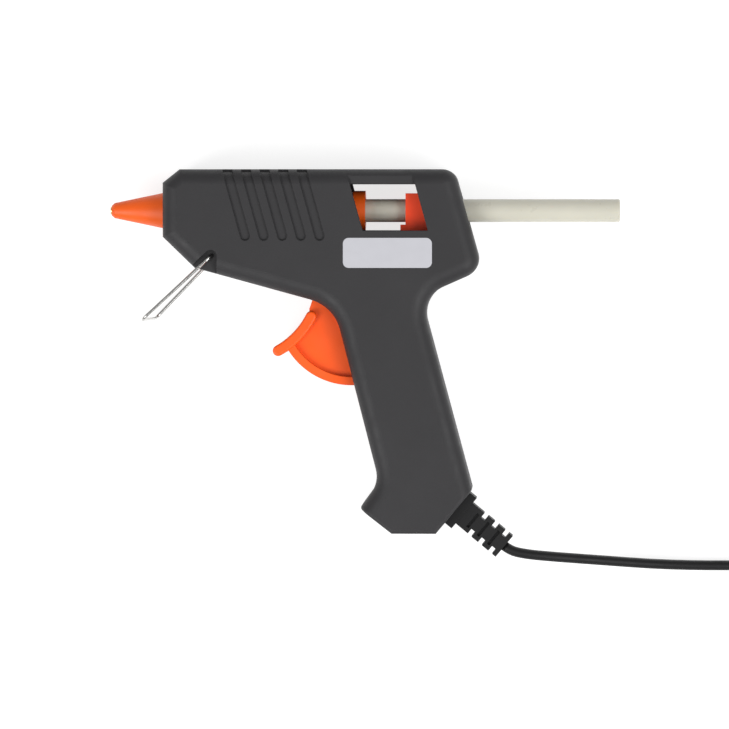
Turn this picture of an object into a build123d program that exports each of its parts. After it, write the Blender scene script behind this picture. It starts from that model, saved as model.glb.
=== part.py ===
from build123d import *
import math
import os

os.makedirs("parts", exist_ok=True)

# A mini hot melt glue gun lying on its right side. X runs from the nozzle to the glue stick,
# Y up the side view and Z from the table through the gun's thickness. Millimetres.

# Housing
BODY_WIDTH = 27.0
WALL = 2.0
EDGE_ROUND = 4.6
BUTT_ROUND = 1.0
BUTT_EDGES_BELOW_Y = -48.0
NOSE_X = -62.9
TOP_Y = 56.8
BUTT_Y = -56.8
AXIS_Y = 43.9
SLIDE_CLEARANCE = 0.2
RUN_CLEARANCE = 0.05
SEAT_CLEARANCE = 0.1

# The butt's rear chamfer, where the cord leaves
CORD_CORNERS = [(33.8, -43.2, 0), (22.5, BUTT_Y, 0)]

# Corners of the side outline, clockwise from the nose: x, y and corner radius
OUTLINE = [
    (NOSE_X, AXIS_Y + 8.7, 0),
    (NOSE_X + 5.3, TOP_Y, 0),
    (28.1, TOP_Y, 4.8),
    (36.9, 25.5, 5.9),
    (17.6, 17.0, 9.1),
    *CORD_CORNERS,
    (8.7, BUTT_Y, 0),
    (-1.3, -49.0, 0),
    (4.7, -40.8, 8.5),
    (-9.4, 14.1, 13.0),
    (-52.9, 26.0, 0),
    (NOSE_X, AXIS_Y - 8.2, 0),
]

# Window over the feed carriage: lower left corner, size, lean of its ends
WINDOW_X = -0.3
WINDOW_Y = AXIS_Y - 6.2
WINDOW_LENGTH = 20.3
WINDOW_HEIGHT = 14.5
LEAN = 15.5
BAR_SET_BACK = 0.8

# Grip grooves on the barrel sides
GROOVE_COUNT = 5
GROOVE_X = -36.9
GROOVE_Y = AXIS_Y - 7.8
GROOVE_PITCH = 5.8
GROOVE_WIDTH = 3.0
GROOVE_DEPTH = 0.7
GROOVE_FROM_SEAM = 9.5

# Rating plate
PLATE_X = 7.45
PLATE_Y = 30.75
PLATE_LENGTH = 27.7
PLATE_HEIGHT = 9.35
PLATE_CORNER = 1.8
PLATE_THICK = 0.35
PLATE_PROUD = 0.1

# Housing screws: x, y of each boss
SCREW_PLACES = [(-30.0, 25.0), (-12.0, 52.8), (25.0, 51.6), (28.0, 28.6), (7.0, -46.4)]
SCREW_D = 2.6
SCREW_HEAD_D = 5.0
SCREW_HEAD_H = 1.8
SCREW_LENGTH = 11.0
SCREW_SINK = 5.0
SCREW_SLOT = (3.0, 0.7, 1.4)
BOSS_D = 5.6

# Glue stick
STICK_D = 7.2
STICK_LENGTH = 100.0
STICK_REAR_X = 79.9
STICK_SLIP = 0.25
STICK_SOFTEN = 0.3
INLET_HOLE_D = 12.5

# Nozzle and its sleeve
NOZZLE_TIP_X = -79.9
NOZZLE_TIP_D = 2.4
NOZZLE_BORE_D = 1.4
NOZZLE_BODY_D = 7.0
NOZZLE_NECK_D = 5.0
NOZZLE_NECK_LENGTH = 6.0
NOZZLE_SHOULDER = 2.5
NOZZLE_LAND = 2.0
NOZZLE_TAPER = 3.0
SLEEVE_TIP_D = 4.8
SLEEVE_BASE_D = 11.3
SLEEVE_NECK_D = 9.4
SLEEVE_SET_BACK = 0.35
SLEEVE_TIP_WALL = 0.25
SLEEVE_TIP_LENGTH = 0.9

# Melt chamber
CHAMBER_D = 13.0
CHAMBER_FRONT_X = NOSE_X + WALL + SLIDE_CLEARANCE
CHAMBER_REAR_X = -19.0
SPIGOT_D = 10.0
SPIGOT_REAR_X = -8.0
MELT_FROM_X = -44.0
MELT_CONE_LENGTH = 10.0
MELT_DUCT_D = 3.0

# Heater pocket under the chamber, and the stack inside it
POCKET_FRONT_X = -52.0
POCKET_REAR_X = -25.0
POCKET_WIDTH = 12.4
POCKET_FLOOR = 1.6
POCKET_TOP_BELOW_AXIS = 8.0
SADDLE_INSET = 2.5
SADDLE_THICK = 1.8
FILM_THICK = 0.2
FILM_WIDTH = 9.0
ELECTRODE_THICK = 0.5
HEATER_LENGTH = 22.0
HEATER_WIDTH = 7.2
HEATER_THICK = 3.0
HEATER_PLAY = 0.8
FILM_SPARE = 0.4
TAB_WIDTH = 1.5
TAB_OFFSET = 2.2
TAB_END_X = -18.6

# Inlet sleeve
INLET_REAR_X = 0.2
INLET_D = 12.0
INLET_COLLAR_D = 12.4
INLET_COLLAR_LENGTH = 3.8
INLET_COVER = 9.0

# Feed carriage
CARRIAGE_X = 12.9
CARRIAGE_LENGTH = 8.6
CARRIAGE_WIDTH = 14.4
CARRIAGE_ABOVE_AXIS = 5.4
CARRIAGE_BELOW_AXIS = 8.4
LEDGE_LENGTH = 1.6
LEDGE_BELOW_AXIS = 4.4
YOKE_THICK = 1.8
YOKE_WALL = 1.7
YOKE_PLAY = 0.5
RAIL_SPARE = 3.0

# Grip pawl in the carriage
PAWL_PIN_D = 1.8
PAWL_PIN_LENGTH = 11.4
PAWL_PIN_SETBACK = 5.9
PAWL_HUB_D = 3.6
PAWL_THICK = 3.6
PAWL_GAP = 0.35
PAWL_REACH = 4.2
PAWL_FACE = 0.8
TOOTH_PITCH = 1.0
TOOTH_DEPTH = 0.6

# Trigger: pivot, rim arc about it, finger hollow
PIVOT_X = -4.0
PIVOT_Y = 12.7
TRIGGER_R = 23.4
TRIGGER_TURN = 28.0
FINGER_X = -39.3
FINGER_Y = 22.3
FINGER_R = 23.7
PAD_THICK = 3.4
PAD_WIDTH = 14.0
PAD_TOP_ANGLE = -27.0
PAD_LIP_ANGLE = -61.0
PAD_SOFTEN = 0.8
PAD_BITE = 0.1
WEB_THICK = 8.8
WEB_ANGLES = (195, 292)
SHIELD_ANGLES = (130, 292)
RIM_ANGLES = (206, 280)
MOUTH_ANGLES = (190, 300)
RIM_THICK = 2.6
RIM_WIDTH = 12.8
SHIELD_R = 13.3
HUB_D = 9.2
HUB_WIDTH = 14.0
TRIGGER_PIN_D = 3.0
TRIGGER_PIN_LENGTH = 20.5
PIN_BOSS_D = 5.2
ARM_REACH = 21.5
ARM_LEAN = 52.0
ARM_THICK = 6.4
ARM_BREADTH = 4.6
DRIVE_PIN_D = 3.0
DRIVE_PIN_LENGTH = 11.2

# Trigger return spring, on the right half's pin boss
SPRING_WIRE_D = 0.8
SPRING_PITCH = 1.25
SPRING_HALF_TURNS = 5
SPRING_GAP = 0.3
SPRING_LEAN = 50.0
SPRING_LEG = 9.5
PEG_D = 2.0

# Wire stand
STAND_X = -47.6
STAND_Y = 29.8
STAND_WIRE_D = 1.1
STAND_LEG = 29.3
STAND_ANGLE = 222.8
STAND_SWING = 45.0
STAND_BEND = 2.0
STAND_PIN_LENGTH = 3.4
STAND_SKEW = 1.6
STAND_BOSS_D = 4.6
STAND_BOSS_SPARE = 1.2
STAND_END_GAP = 0.3
STAND_SINK = 0.5
POCKET_PLAY = 1.3
POCKET_BACK = 1.4

# Cord, strain relief and clamp
CORD_WIDTH = 5.2
CORD_THICK = 3.0
RELIEF_SHIFT = 1.3
RELIEF_FLANGE = (12.3, 9.6, 2.9)
RELIEF_BLOCK = (8.3, 8.0, 4.9)
RELIEF_RING = (8.4, 8.0, 2.6)
RELIEF_RINGS = 2
RELIEF_GAP = 1.6
RELIEF_END = 1.4
RELIEF_CORE = 4.6
RELIEF_NECK = (7.6, 7.2)
RELIEF_SLIT = 0.9
RELIEF_SLIT_LENGTH = 5.4
RELIEF_SLIT_DEPTH = 1.0
INNER_FLANGE = (10.2, 9.4, 1.8)
CORD_INSIDE = 17.0
CLAMP_AT = 10.0
CLAMP_LENGTH = 15.0
CLAMP_BREADTH = 5.0
CLAMP_THICK = 2.5
CLAMP_SCREW_SPACING = 10.4
CLAMP_SCREW_D = 2.0
CLAMP_SCREW_LENGTH = 7.0
CLAMP_HEAD_D = 3.8
CLAMP_HEAD_H = 1.5
CLAMP_BOSS_D = 4.4
CLAMP_SLOT = (CLAMP_HEAD_D, 0.6, 1.2)

# Leads to the heater
LEAD_D = 1.8
LEAD_SPREAD = 9.3
LEAD_START = 4.0
LEAD_BEND = (14.0, -31.0)
LEAD_BEND_Z = 6.0
LEAD_CLIMB = [(15.5, -20.0), (14.8, -6.0), (13.6, 8.0), (11.5, 17.5), (8.0, 23.2), (-9.0, 23.6)]
LEAD_DIP_X = -12.5
LEAD_DIP = 4.0
LEAD_DIP_Z = 6.5
LEAD_REACH = 4.0
LEAD_GAP = 0.4
CRIMP_D = 2.8
CRIMP_LENGTH = 6.0
HEAT_SLEEVE_D = 2.9
HEAT_SLEEVE_LENGTH = 8.0

# Free cord on the table: points chosen by hand after the strain relief's end
EXIT_RUN = 2.4
CORD_ROUTE = [
    (50.4, -63.9, 13.3),
    (58.0, -64.7, 12.2),
    (72.0, -66.0, 8.0),
    (96.0, -68.0, 3.5),
    (122.0, -68.0, 3.5),
]
JOIN_GAP = 0.05
ARC_SHARE = 0.45

# Coil of put-away cord: centre, outer turn and windings
COIL_X = 156.0
COIL_TURN_R = 33.5
COIL_PITCH = 3.5
COIL_LAYER_STEP = 5.8
COIL_HALF_TURNS_IN = 6
COIL_HALF_TURNS_OUT = 5
TIE_THICK = 0.5
TIE_BREADTH = 4.0
TIE_GAP = 0.3
TIE_SIDE_GAP = 0.8

# Plug with two slanted blades
TAIL_LENGTH = 22.0
PLUG_WIDTH = 26.0
PLUG_LENGTH = 25.0
PLUG_CORNER = 4.0
BOOT_LENGTH = 13.0
BOOT_D = 9.0
BOOT_RINGS = 4
BOOT_GROOVE = 1.0
BOOT_GROOVE_DEPTH = 0.8
SHOULDER = (12.0, 10.0)
BLADE_LENGTH = 17.0
BLADE_WIDTH = 6.3
BLADE_THICK = 1.6
BLADE_SPACING = 13.7
BLADE_LEAN = 30.0

# Worked out from the sizes above
MID = BODY_WIDTH / 2
DEPTH = MID - WALL
PIVOT = Vector(PIVOT_X, PIVOT_Y)
STICK_FRONT_X = STICK_REAR_X - STICK_LENGTH
STICK_BORE_D = STICK_D + 2 * STICK_SLIP
DRIVE_X = PIVOT_X + ARM_REACH * math.sin(math.radians(ARM_LEAN))
DRIVE_Y = PIVOT_Y + ARM_REACH * math.cos(math.radians(ARM_LEAN))
PULLED_LEAN = ARM_LEAN - TRIGGER_TURN
STROKE = ARM_REACH * (math.sin(math.radians(ARM_LEAN)) - math.sin(math.radians(PULLED_LEAN)))
DRIVE_TOP_Y = PIVOT_Y + ARM_REACH * math.cos(math.radians(PULLED_LEAN))
CARRIAGE_FLOOR_Y = AXIS_Y - CARRIAGE_BELOW_AXIS
POCKET_TOP_Y = AXIS_Y - POCKET_TOP_BELOW_AXIS
POCKET_HEIGHT = HEATER_THICK + 2 * ELECTRODE_THICK + 2 * FILM_THICK + SEAT_CLEARANCE
POCKET_FLOOR_Y = POCKET_TOP_Y - POCKET_HEIGHT
SPRING_R = PIN_BOSS_D / 2 + SPRING_GAP + SPRING_WIRE_D / 2
STAND_LEG_Z = MID - STAND_WIRE_D / 2 - STAND_SINK

# The cord leaves square through the butt's rear chamfer
CORNER_A = Vector(*CORD_CORNERS[0][:2])
CORNER_B = Vector(*CORD_CORNERS[1][:2])
CORD_ACROSS = (CORNER_A - CORNER_B).normalized()
CORD_OUT = Vector(CORD_ACROSS.Y, -CORD_ACROSS.X)
CORD_BASE = (CORNER_A + CORNER_B) * 0.5 + CORD_ACROSS * RELIEF_SHIFT
RELIEF_RUN = RELIEF_RINGS * (RELIEF_GAP + RELIEF_RING[2])
RELIEF_LENGTH = RELIEF_FLANGE[2] + RELIEF_BLOCK[2] + RELIEF_RUN + RELIEF_GAP + RELIEF_END

# The coil starts where the free route ends
COIL_Z = CORD_ROUTE[-1][2]
COIL_Y = CORD_ROUTE[-1][1] + COIL_TURN_R
PLUG_Z = COIL_Z + COIL_LAYER_STEP


def save(shape, name):
    """Write one node, lifted from the gun's mid-plane to the table."""
    export_step(Pos(0, 0, MID) * shape, os.path.join("parts", name + ".step"))


def from_pivot(reach, angle):
    """A point at a reach and an angle from the trigger's pivot."""
    turn = math.radians(angle)
    return PIVOT + Vector(reach * math.cos(turn), reach * math.sin(turn))


def rounded_face(corners):
    """A face from corners with their own radii."""
    spots = [Vector(x, y) for x, y, _ in corners]
    starts, ends, arcs = [], [], []
    for i, (_, _, radius) in enumerate(corners):
        spot = spots[i]
        back = (spots[i - 1] - spot).normalized()
        ahead = (spots[(i + 1) % len(spots)] - spot).normalized()
        if radius == 0:
            starts.append(spot)
            ends.append(spot)
            continue
        half = math.radians(back.get_angle(ahead)) / 2
        reach = radius / math.tan(half)
        middle = spot + (back + ahead).normalized() * (radius / math.sin(half) - radius)
        starts.append(spot + back * reach)
        ends.append(spot + ahead * reach)
        arcs.append(ThreePointArc(starts[-1], middle, ends[-1]))
    lines = [Line(ends[i - 1], starts[i]) for i in range(len(spots))]
    return make_face(Curve() + lines + arcs)


def disc(spot, radius):
    """A flat disc about a point."""
    return Pos(spot.X, spot.Y) * Circle(radius)


def wedge(reach, first, last):
    """A flat wedge about the trigger's pivot, between two angles."""
    middle = from_pivot(2 * reach, (first + last) / 2)
    corners = [PIVOT, from_pivot(2 * reach, first), middle, from_pivot(2 * reach, last)]
    return make_face(Polyline(*corners, close=True))


def slab(face, low, high):
    """A flat face made solid between two heights above the mid-plane."""
    return Pos(0, 0, low) * extrude(face, high - low)


def block(x0, x1, y0, y1, z0, z1):
    """A box between its limits."""
    return Pos((x0 + x1) / 2, (y0 + y1) / 2, (z0 + z1) / 2) * Box(x1 - x0, y1 - y0, z1 - z0)


def post(x, y, diameter, low, high):
    """A round post square to the mid-plane."""
    return Pos(x, y, (low + high) / 2) * Cylinder(diameter / 2, high - low)


def rod(diameter, x0, x1):
    """A round bar on the barrel's axis."""
    return Pos((x0 + x1) / 2, AXIS_Y, 0) * Rot(0, 90, 0) * Cylinder(diameter / 2, x1 - x0)


def turned(profile):
    """A turned piece on the barrel's axis from x and diameter pairs, outside first, then the bore."""
    spots = [(x, AXIS_Y + diameter / 2) for x, diameter in profile]
    face = make_face(Polyline(*spots, close=True))
    return revolve(face, Axis((0, AXIS_Y, 0), (1, 0, 0)))


def cord_plane(reach):
    """A plane across the cord's line, a reach out from the butt's chamfer."""
    return Plane(origin=CORD_BASE + CORD_OUT * reach, x_dir=CORD_ACROSS, z_dir=CORD_OUT)


def cord_bar(across, thick, start, end):
    """A bar on the cord's line between two reaches."""
    return extrude(cord_plane(start) * Rectangle(across, thick), end - start)


def cord_section():
    """The flat twin cord's section, thin side first."""
    return SlotOverall(CORD_WIDTH, CORD_THICK, rotation=90)


def half_body(inset):
    """One half of the body's outside, drawn in evenly by an inset, sharper round the butt's end."""
    face = rounded_face(OUTLINE)
    if inset:
        face = offset(face, -inset, kind=Kind.INTERSECTION)
    solid = extrude(face, MID - inset)
    edges = solid.faces().sort_by(Axis.Z)[-1].edges()
    solid = fillet([edge for edge in edges if edge.center().Y > BUTT_EDGES_BELOW_Y], EDGE_ROUND - inset)
    edges = solid.faces().sort_by(Axis.Z)[-1].edges()
    return fillet([edge for edge in edges if edge.center().Y < BUTT_EDGES_BELOW_Y], BUTT_ROUND)


def window_face(low, high):
    """The leaning window over the carriage, between two heights."""
    slope = math.tan(math.radians(LEAN))
    corners = []
    for x, y in ((0, low), (WINDOW_LENGTH, low), (WINDOW_LENGTH, high), (0, high)):
        corners.append((WINDOW_X + x - (y - WINDOW_Y) * slope, y))
    return make_face(Polyline(*corners, close=True))


def grooves():
    """Five leaning grooves with round lower ends, open over the top edge."""
    cut = Part()
    run = TOP_Y - GROOVE_Y + GROOVE_WIDTH
    for i in range(GROOVE_COUNT):
        face = Pos(0, run / 2) * Rectangle(GROOVE_WIDTH, run) + Circle(GROOVE_WIDTH / 2)
        spot = Pos(GROOVE_X + i * GROOVE_PITCH, GROOVE_Y) * Rot(0, 0, LEAN)
        cut += slab(spot * face, GROOVE_FROM_SEAM, MID)
    return cut - half_body(GROOVE_DEPTH)


def stand_fan(spare):
    """The flat fan that the stand's leg swings over, with some room to spare round it."""
    width = STAND_WIRE_D + 2 * spare
    spot = Vector(STAND_X, STAND_Y)
    fan = disc(spot, width / 2)
    for swing in (0, STAND_SWING):
        turn = math.radians(STAND_ANGLE + swing)
        middle = spot + Vector(math.cos(turn), math.sin(turn)) * STAND_LEG / 2
        fan += Pos(middle.X, middle.Y) * Rot(0, 0, STAND_ANGLE + swing) * Rectangle(STAND_LEG, width)
    corners = [spot]
    for swing in (0, STAND_SWING / 2, STAND_SWING):
        turn = math.radians(STAND_ANGLE + swing)
        corners.append(spot + Vector(math.cos(turn), math.sin(turn)) * STAND_LEG)
    return fan + make_face(Polyline(*corners, close=True))


def mouth():
    """The opening that the trigger moves through."""
    gap = 2 * SLIDE_CLEARANCE
    face = disc(PIVOT, SHIELD_R + gap)
    face += disc(PIVOT, TRIGGER_R + gap) & wedge(TRIGGER_R, *MOUTH_ANGLES)
    return slab(face, 0, PAD_WIDTH / 2 + gap)


def saddle(x):
    """A rib that holds the melt chamber."""
    half = SADDLE_THICK / 2
    rib = block(x - half, x + half, POCKET_FLOOR_Y - POCKET_FLOOR, TOP_Y - WALL, 0, DEPTH)
    gap = SEAT_CLEARANCE
    chamber = rod(CHAMBER_D + 2 * gap, x - SADDLE_THICK, x + SADDLE_THICK)
    low = POCKET_FLOOR_Y - POCKET_FLOOR - gap
    pocket = block(x - SADDLE_THICK, x + SADDLE_THICK, low, AXIS_Y, -1, POCKET_WIDTH / 2 + gap)
    return rib - chamber - pocket


def half_shell():
    """The structure that both housing halves share, above the mid-plane."""
    body = half_body(0)
    cavity = extrude(offset(rounded_face(OUTLINE), -WALL, kind=Kind.INTERSECTION), DEPTH)
    inside = saddle(POCKET_FRONT_X + SADDLE_INSET) + saddle(POCKET_REAR_X - SADDLE_INSET)
    for x, y in SCREW_PLACES:
        inside += post(x, y, BOSS_D, 0, DEPTH)
    inside += post(PIVOT_X, PIVOT_Y, PIN_BOSS_D, HUB_WIDTH / 2 + SLIDE_CLEARANCE, DEPTH)
    rail_top = CARRIAGE_FLOOR_Y - SLIDE_CLEARANCE
    rail_start = CARRIAGE_X - STROKE - RAIL_SPARE
    rail_end = CARRIAGE_X + CARRIAGE_LENGTH + RAIL_SPARE
    rail_edge = ARM_THICK / 2 + YOKE_THICK + 1
    inside += block(rail_start, rail_end, rail_top - WALL, rail_top, rail_edge, DEPTH)
    inside += post(STAND_X, STAND_Y, STAND_BOSS_D, POCKET_WIDTH / 2 + STAND_BOSS_SPARE, DEPTH)
    pocket_low = STAND_LEG_Z - STAND_WIRE_D / 2 - POCKET_PLAY
    inside += slab(stand_fan(POCKET_PLAY + POCKET_BACK), pocket_low - POCKET_BACK, DEPTH)
    shell = body - (cavity - (inside & cavity))
    window_top = WINDOW_Y + WINDOW_HEIGHT
    shell -= slab(window_face(WINDOW_Y, window_top), -1, MID + 1)
    shell -= slab(window_face(window_top, TOP_Y + 1), MID - BAR_SET_BACK, MID + 1)
    shell -= grooves()
    shell -= slab(stand_fan(POCKET_PLAY), pocket_low, MID)
    shell -= mouth()
    shell -= rod(SLEEVE_NECK_D + 2 * SEAT_CLEARANCE, NOSE_X - 1, CHAMBER_FRONT_X)
    shell -= rod(INLET_HOLE_D, rail_end + 1, STICK_REAR_X)
    shell -= post(PIVOT_X, PIVOT_Y, TRIGGER_PIN_D, 0, TRIGGER_PIN_LENGTH / 2)
    pin_end = STAND_LEG_Z - STAND_PIN_LENGTH - STAND_END_GAP
    shell -= post(STAND_X, STAND_Y, STAND_WIRE_D + 2 * RUN_CLEARANCE, pin_end, MID)
    return shell - cord_bar(RELIEF_NECK[0], RELIEF_NECK[1], -WALL - 1, 1)


def left_shell():
    """The half with the rating plate, its screw bosses blind."""
    shell = half_shell()
    for x, y in SCREW_PLACES:
        shell -= post(x, y, SCREW_D, -1, SCREW_LENGTH)
    plate = Pos(PLATE_X, PLATE_Y) * RectangleRounded(PLATE_LENGTH, PLATE_HEIGHT, PLATE_CORNER)
    return shell - slab(plate, MID + PLATE_PROUD - PLATE_THICK, MID + 1)


def right_shell():
    """The half with the sunk screw heads, the spring stop and the cord clamp's seat."""
    shell = half_shell()
    head_low = MID - SCREW_SINK - SCREW_HEAD_H
    for x, y in SCREW_PLACES:
        shell -= post(x, y, SCREW_D + 2 * SEAT_CLEARANCE, -1, MID)
        shell -= post(x, y, SCREW_HEAD_D + 2 * SEAT_CLEARANCE, head_low, MID + 1)
    spring_room = 2 * SPRING_R + SPRING_WIRE_D + 2 * SLIDE_CLEARANCE
    hub_side = HUB_WIDTH / 2 + SLIDE_CLEARANCE
    room = post(PIVOT_X, PIVOT_Y, spring_room, hub_side, DEPTH)
    shell -= room - post(PIVOT_X, PIVOT_Y, PIN_BOSS_D, hub_side, DEPTH)
    stop = spring_leg_end(1) + spring_side() * (SPRING_WIRE_D / 2 + SEAT_CLEARANCE + PEG_D / 2)
    shell += post(stop.X, stop.Y, PEG_D, hub_side, DEPTH)
    seat = cord_plane(-CLAMP_AT).origin
    shell += cord_bar(CORD_THICK, 2 * DEPTH, -CLAMP_AT - 1, -CLAMP_AT + 1) & block_above(CORD_WIDTH / 2)
    for side in (-1, 1):
        spot = seat + CORD_ACROSS * side * CLAMP_SCREW_SPACING / 2
        shell += post(spot.X, spot.Y, CLAMP_BOSS_D, -CORD_WIDTH / 2, DEPTH)
        shell -= post(spot.X, spot.Y, CLAMP_SCREW_D, -CORD_WIDTH, CLAMP_SCREW_LENGTH)
    return mirror(shell, about=Plane.XY)


def block_above(height):
    """All the room of the butt above a height, up to the side wall."""
    reach = CORD_INSIDE + CLAMP_LENGTH
    x, y = CORD_BASE.X, CORD_BASE.Y
    return block(x - reach, x + reach, y - reach, y + reach, height, DEPTH)


def shell_screws():
    """Five screws from the right half into the left half."""
    head_low = SCREW_SINK - MID
    screws = []
    for x, y in SCREW_PLACES:
        head = post(x, y, SCREW_HEAD_D, head_low, head_low + SCREW_HEAD_H)
        shank = post(x, y, SCREW_D, head_low + SCREW_HEAD_H, head_low + SCREW_HEAD_H + SCREW_LENGTH)
        slot = Pos(x, y, head_low) * (Box(*SCREW_SLOT) + Rot(0, 0, 90) * Box(*SCREW_SLOT))
        screws.append(head + shank - slot)
    return Compound(screws)


def rating_plate():
    """A blank plate let into the left half."""
    face = Pos(PLATE_X, PLATE_Y) * RectangleRounded(PLATE_LENGTH, PLATE_HEIGHT, PLATE_CORNER)
    return slab(face, MID + PLATE_PROUD - PLATE_THICK, MID + PLATE_PROUD)


def nozzle():
    """The metal nozzle, screwed into the chamber."""
    seat = CHAMBER_FRONT_X
    return turned(
        [
            (NOZZLE_TIP_X, NOZZLE_TIP_D),
            (NOSE_X - NOZZLE_SHOULDER, NOZZLE_BODY_D),
            (seat, NOZZLE_BODY_D),
            (seat, NOZZLE_NECK_D),
            (seat + NOZZLE_NECK_LENGTH, NOZZLE_NECK_D),
            (seat + NOZZLE_NECK_LENGTH, MELT_DUCT_D),
            (NOZZLE_TIP_X + NOZZLE_LAND + NOZZLE_TAPER, MELT_DUCT_D),
            (NOZZLE_TIP_X + NOZZLE_LAND, NOZZLE_BORE_D),
            (NOZZLE_TIP_X, NOZZLE_BORE_D),
        ]
    )


def nozzle_sleeve():
    """The orange heat guard over the nozzle, seated in the nose."""
    tip = NOZZLE_TIP_X + SLEEVE_SET_BACK
    base = NOSE_X - SEAT_CLEARANCE
    gap = 2 * SEAT_CLEARANCE
    slope = (NOZZLE_BODY_D - NOZZLE_TIP_D) / (NOSE_X - NOZZLE_SHOULDER - NOZZLE_TIP_X)
    tip_bore = NOZZLE_TIP_D + SLEEVE_SET_BACK * slope + gap
    return turned(
        [
            (tip, tip_bore + 2 * SLEEVE_TIP_WALL),
            (tip + SLEEVE_TIP_LENGTH, SLEEVE_TIP_D),
            (base, SLEEVE_BASE_D),
            (base, SLEEVE_NECK_D),
            (CHAMBER_FRONT_X - SEAT_CLEARANCE, SLEEVE_NECK_D),
            (CHAMBER_FRONT_X - SEAT_CLEARANCE, NOZZLE_BODY_D + gap),
            (NOSE_X - NOZZLE_SHOULDER, NOZZLE_BODY_D + gap),
            (tip, tip_bore),
        ]
    )


def melt_chamber():
    """The cast chamber with its feed bore, rear spigot and heater pocket."""
    outside = rod(CHAMBER_D, CHAMBER_FRONT_X, CHAMBER_REAR_X)
    outside += rod(SPIGOT_D, CHAMBER_REAR_X, SPIGOT_REAR_X)
    half = POCKET_WIDTH / 2
    low = POCKET_FLOOR_Y - POCKET_FLOOR
    outside += block(POCKET_FRONT_X, POCKET_REAR_X, low, AXIS_Y - CHAMBER_D / 4, -half, half)
    socket_end = CHAMBER_FRONT_X + NOZZLE_NECK_LENGTH
    bore = turned(
        [
            (CHAMBER_FRONT_X - 1, 0),
            (CHAMBER_FRONT_X - 1, NOZZLE_NECK_D + 2 * RUN_CLEARANCE),
            (socket_end + RUN_CLEARANCE, NOZZLE_NECK_D + 2 * RUN_CLEARANCE),
            (socket_end + RUN_CLEARANCE, MELT_DUCT_D),
            (MELT_FROM_X - MELT_CONE_LENGTH, MELT_DUCT_D),
            (MELT_FROM_X, STICK_BORE_D),
            (SPIGOT_REAR_X + 1, STICK_BORE_D),
            (SPIGOT_REAR_X + 1, 0),
        ]
    )
    front = POCKET_FRONT_X + POCKET_FLOOR
    width = FILM_WIDTH + SEAT_CLEARANCE
    slot = block(front, POCKET_REAR_X + 1, POCKET_FLOOR_Y, POCKET_TOP_Y, -width / 2, width / 2)
    return outside - bore - slot


def heater_levels():
    """Heights of the heater stack's faces, from the pocket's floor."""
    film_low = POCKET_FLOOR_Y + SEAT_CLEARANCE / 2
    first = film_low + FILM_THICK
    second = first + ELECTRODE_THICK
    third = second + HEATER_THICK
    return film_low, first, second, third, third + ELECTRODE_THICK


def heater_span():
    """Front and rear of the heater stone in its pocket."""
    front = POCKET_FRONT_X + POCKET_FLOOR + HEATER_PLAY
    return front, front + HEATER_LENGTH


def ptc_heater():
    """The heater stone between its electrodes."""
    front, rear = heater_span()
    _, _, low, high, _ = heater_levels()
    return block(front, rear, low, high, -HEATER_WIDTH / 2, HEATER_WIDTH / 2)


def electrode(low, high, offset_z):
    """A contact plate with a tab that reaches back out of the pocket."""
    front, rear = heater_span()
    plate = block(front, rear, low, high, -HEATER_WIDTH / 2, HEATER_WIDTH / 2)
    half = TAB_WIDTH / 2
    return plate + block(rear, TAB_END_X, low, high, offset_z - half, offset_z + half)


def heater_film():
    """Insulating film wrapped round the heater stack."""
    front, _ = heater_span()
    film_low, first, _, _, top = heater_levels()
    half = FILM_WIDTH / 2
    wrap = block(front - FILM_SPARE, POCKET_REAR_X - FILM_SPARE, film_low, top + FILM_THICK, -half, half)
    return wrap - block(front - 1, POCKET_REAR_X + 1, first, top, -half + FILM_THICK, half - FILM_THICK)


def inlet_sleeve():
    """The orange silicone sleeve that leads the stick onto the chamber."""
    step = SPIGOT_REAR_X + SEAT_CLEARANCE
    grip = SPIGOT_D + 2 * RUN_CLEARANCE
    start = SPIGOT_REAR_X - INLET_COVER
    collar = INLET_REAR_X - INLET_COLLAR_LENGTH
    return turned(
        [
            (start, INLET_D),
            (collar, INLET_D),
            (collar, INLET_COLLAR_D),
            (INLET_REAR_X, INLET_COLLAR_D),
            (INLET_REAR_X, STICK_BORE_D + 1),
            (INLET_REAR_X - 1, STICK_BORE_D),
            (step, STICK_BORE_D),
            (step, grip),
            (start, grip),
        ]
    )


def feed_carriage():
    """The sliding carriage round the stick, with the yoke for the trigger's pin."""
    half = CARRIAGE_WIDTH / 2
    rear = CARRIAGE_X + CARRIAGE_LENGTH
    top = AXIS_Y + CARRIAGE_ABOVE_AXIS
    body = block(CARRIAGE_X, rear, CARRIAGE_FLOOR_Y, top, -half, half)
    body += block(CARRIAGE_X - LEDGE_LENGTH, rear, CARRIAGE_FLOOR_Y, AXIS_Y - LEDGE_BELOW_AXIS, -half, half)
    body -= rod(STICK_BORE_D, CARRIAGE_X - 1, rear + 1)
    slot_half = DRIVE_PIN_D / 2 + YOKE_PLAY
    inner = ARM_THICK / 2 + 2 * SLIDE_CLEARANCE
    low = DRIVE_Y - slot_half - YOKE_WALL
    x0 = DRIVE_X - slot_half - YOKE_WALL
    x1 = DRIVE_X + slot_half + YOKE_WALL
    slot = block(DRIVE_X - slot_half, DRIVE_X + slot_half, low - 1, DRIVE_TOP_Y + slot_half, -half, half)
    for side in (-1, 1):
        middle = side * (inner + YOKE_THICK / 2)
        cheek = block(x0, x1, low, CARRIAGE_FLOOR_Y, middle - YOKE_THICK / 2, middle + YOKE_THICK / 2)
        body += cheek - slot
    gap = PAWL_THICK / 2 + SLIDE_CLEARANCE
    body -= block(CARRIAGE_X + PAWL_FACE, rear + 1, CARRIAGE_FLOOR_Y - 1, AXIS_Y, -gap, gap)
    return body - grip_pin()


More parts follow.
